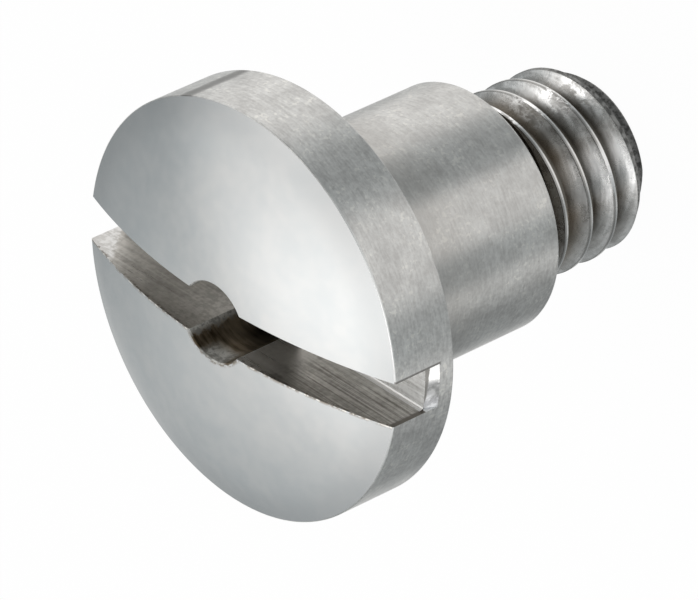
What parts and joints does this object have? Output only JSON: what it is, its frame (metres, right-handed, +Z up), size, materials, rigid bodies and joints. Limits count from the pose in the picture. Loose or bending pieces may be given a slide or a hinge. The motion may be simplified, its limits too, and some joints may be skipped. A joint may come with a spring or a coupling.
{
  "type": "slotted shoulder mounting screw",
  "caption": "Steel mounting screw with a domed slotted head, a plain shoulder and a short threaded end, standing on the thread's flat end.",
  "frame": {"origin": "on the screw's axis at the underside of the head, where the shoulder starts", "axes": "+Z is up along the screw's axis, out of the domed face, with the screw standing on the flat end of its thread; the driver slot runs along X"},
  "size_m": [0.013, 0.013, 0.0148],
  "materials": {
    "steel": "plain steel as turned: satin dome, fine turning lines on rim and shoulder, rougher thread and sawn slot"
  },
  "bodies": {
    "root": {"mounting_screw": "steel"}
  },
  "joints": []
}
